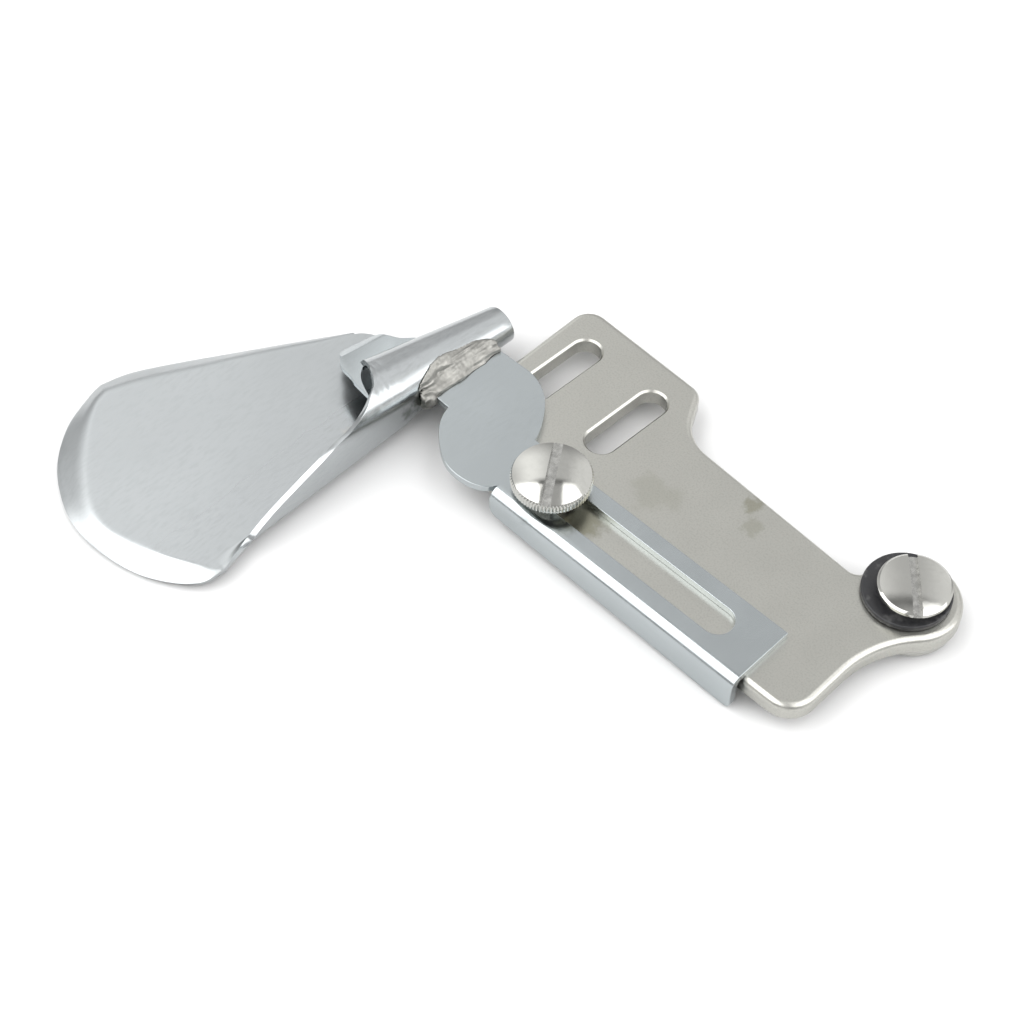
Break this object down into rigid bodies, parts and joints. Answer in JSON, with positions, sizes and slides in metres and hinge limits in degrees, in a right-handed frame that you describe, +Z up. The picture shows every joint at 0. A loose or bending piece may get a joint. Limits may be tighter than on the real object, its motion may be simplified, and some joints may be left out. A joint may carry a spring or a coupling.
{
  "type": "rolled hem folder",
  "caption": "Sheet-metal hem folder for a sewing machine: a fan-shaped scoop rolls the cloth edge into a tapering tube, on a slotted bracket clamped to a pivoting base plate.",
  "frame": {"origin": "on the pivot screw's axis, at the base plate's top face", "axes": "+X from the scoop toward the pivot, along the bracket; +Y the way the cloth is fed, toward the tube's outlet; +Z up out of the base plate"},
  "size_m": [0.099, 0.0672, 0.0102],
  "materials": {
    "plated_steel": "nickel plated, fine satin",
    "satin_steel": "polished satin",
    "solder": "rough as soldered",
    "plated_screw": "nickel plated",
    "black_rubber": "matt"
  },
  "bodies": {
    "base": {"base_plate": "plated_steel"},
    "folder": {"folder_bracket": "satin_steel", "scoop": "satin_steel", "guide_tongue": "satin_steel", "solder_bead": "solder"},
    "clamp": {"thumb_screw": "plated_screw"},
    "pivot": {"pivot_screw": "plated_screw", "pivot_washer": "black_rubber", "pivot_nut": "plated_screw"}
  },
  "joints": [
    {"name": "folder_slide", "type": "slide", "parent": "base", "child": "folder", "axis": [-1, 0, 0], "range_m": [0, 0.026]},
    {"name": "thumb_turn", "type": "hinge", "parent": "base", "child": "clamp", "pos_m": [-0.0394, -0.01875, 0.001], "axis": [0, 0, 1], "continuous": true},
    {"name": "pivot_turn", "type": "hinge", "parent": "base", "child": "pivot", "pos_m": [0, 0, 0], "axis": [0, 0, 1], "continuous": true}
  ]
}
